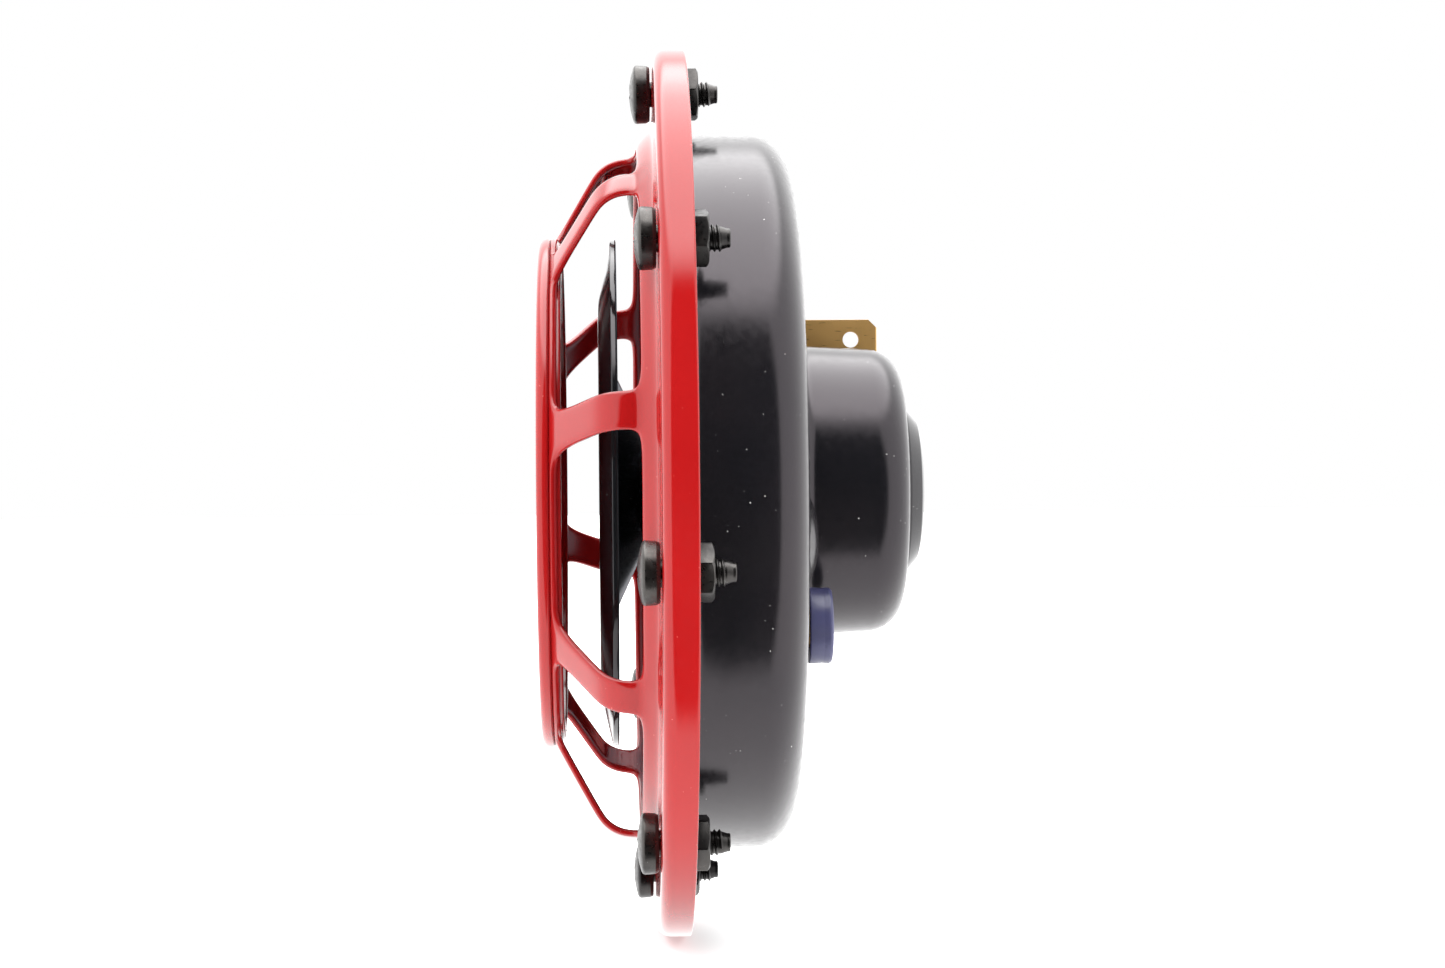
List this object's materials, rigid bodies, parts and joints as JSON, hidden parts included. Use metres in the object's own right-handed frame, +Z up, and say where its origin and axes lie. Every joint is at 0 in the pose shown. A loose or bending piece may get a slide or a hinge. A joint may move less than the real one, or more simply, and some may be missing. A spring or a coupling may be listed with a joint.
{
  "type": "electric disc horn",
  "caption": "Electric disc horn: red vented front grille, black tone disc and stepped round housing with blade terminals and a rear mounting boss.",
  "frame": {"origin": "centre of the tapped mounting hole in the rear face of the boss", "axes": "+Y along the horn axis out of the rear boss, the grille faces -Y; +Z is up, with the upper blade terminal above the cup; +X to the side that carries the adjuster cap"},
  "size_m": [0.1328, 0.057, 0.1328],
  "materials": {
    "grille_red": "glossy red enamel",
    "housing_black": "satin-gloss black paint",
    "fastener_dark": "dark plated steel",
    "plain_steel": "plain machined steel",
    "spring_steel": "tempered spring steel",
    "brass": "stamped brass",
    "silver": "silver contact metal",
    "copper_wire": "enamelled copper wire",
    "fibre": "brown insulating fibre",
    "gasket": "grey gasket sheet",
    "bobbin": "moulded ivory plastic",
    "cap_violet": "blue-violet plastic"
  },
  "bodies": {
    "housing": {"front_grille": "grille_red", "housing_shell": "housing_black", "mount_boss": "housing_black", "rim_bolt_1": "fastener_dark", "rim_bolt_2": "fastener_dark", "rim_bolt_3": "fastener_dark", "rim_bolt_4": "fastener_dark", "rim_bolt_5": "fastener_dark", "rim_bolt_6": "fastener_dark", "rim_bolt_7": "fastener_dark", "rim_bolt_8": "fastener_dark", "rim_nut_1": "fastener_dark", "rim_nut_2": "fastener_dark", "rim_nut_3": "fastener_dark", "rim_nut_4": "fastener_dark", "rim_nut_5": "fastener_dark", "rim_nut_6": "fastener_dark", "rim_nut_7": "fastener_dark", "rim_nut_8": "fastener_dark", "pole_plate": "plain_steel", "pole_core": "plain_steel", "breaker_rivet": "plain_steel", "diaphragm": "spring_steel", "adjuster_bush": "brass", "terminal_blade_1": "brass", "terminal_blade_2": "brass", "terminal_rivet_1": "brass", "terminal_rivet_2": "brass", "coil_winding": "copper_wire", "supply_lead": "copper_wire", "breaker_lead": "copper_wire", "return_lead": "copper_wire", "breaker_base_insulator": "fibre", "breaker_spacer_insulator": "fibre", "breaker_top_insulator": "fibre", "terminal_insulator": "fibre", "terminal_washer_1": "fibre", "terminal_washer_2": "fibre", "front_gasket": "gasket", "rear_gasket": "gasket", "coil_bobbin": "bobbin"},
    "striker": {"tone_disc": "housing_black", "tone_disc_spacer": "plain_steel", "spindle_washer": "fastener_dark", "spindle_nut": "fastener_dark", "spindle": "plain_steel", "armature": "plain_steel"},
    "breaker_arm": {"contact_arm": "spring_steel", "moving_contact": "silver", "arm_pusher": "fibre"},
    "breaker_plate": {"fixed_contact_plate": "brass", "fixed_contact": "silver"},
    "screw_carrier": {"adjuster_tip": "fibre"},
    "screw": {"adjusting_screw": "plain_steel"},
    "cap": {"adjuster_cap": "cap_violet"}
  },
  "joints": [
    {"name": "armature_stroke", "type": "slide", "parent": "housing", "child": "striker", "axis": [0, 1, 0], "range_m": [-0.0002, 0.0005], "stiffness_N_per_m": 8000, "deforming": ["diaphragm"]},
    {"name": "contact_arm_rock", "type": "hinge", "parent": "housing", "child": "breaker_arm", "pos_m": [0.03098, -0.0239, -0.0067], "axis": [-0.2113, 0, -0.9774], "range_deg": [-0.6, 1.4]},
    {"name": "adjuster_travel", "type": "slide", "parent": "housing", "child": "screw_carrier", "axis": [0, 1, 0], "range_m": [-0.000233, 0.000233]},
    {"name": "adjuster_turn", "type": "hinge", "parent": "screw_carrier", "child": "screw", "pos_m": [0.02201, -0.0207, -0.01934], "axis": [0, 1, 0], "range_deg": [-121, 121]},
    {"name": "contact_plate_flex", "type": "hinge", "parent": "housing", "child": "breaker_plate", "pos_m": [0.03098, -0.0263, -0.0067], "axis": [0.8154, 0, -0.5789], "range_deg": [-0.9, 0.9]},
    {"name": "cap_pull", "type": "slide", "parent": "housing", "child": "cap", "axis": [0, 1, 0], "range_m": [0, 0.008]}
  ],
  "couplings": [
    {"joint": "contact_arm_rock", "follows": "armature_stroke", "rad_per_m": 47.17},
    {"joint": "adjuster_turn", "follows": "adjuster_travel", "rad_per_m": 8976},
    {"joint": "contact_plate_flex", "follows": "adjuster_travel", "rad_per_m": 64.517}
  ]
}
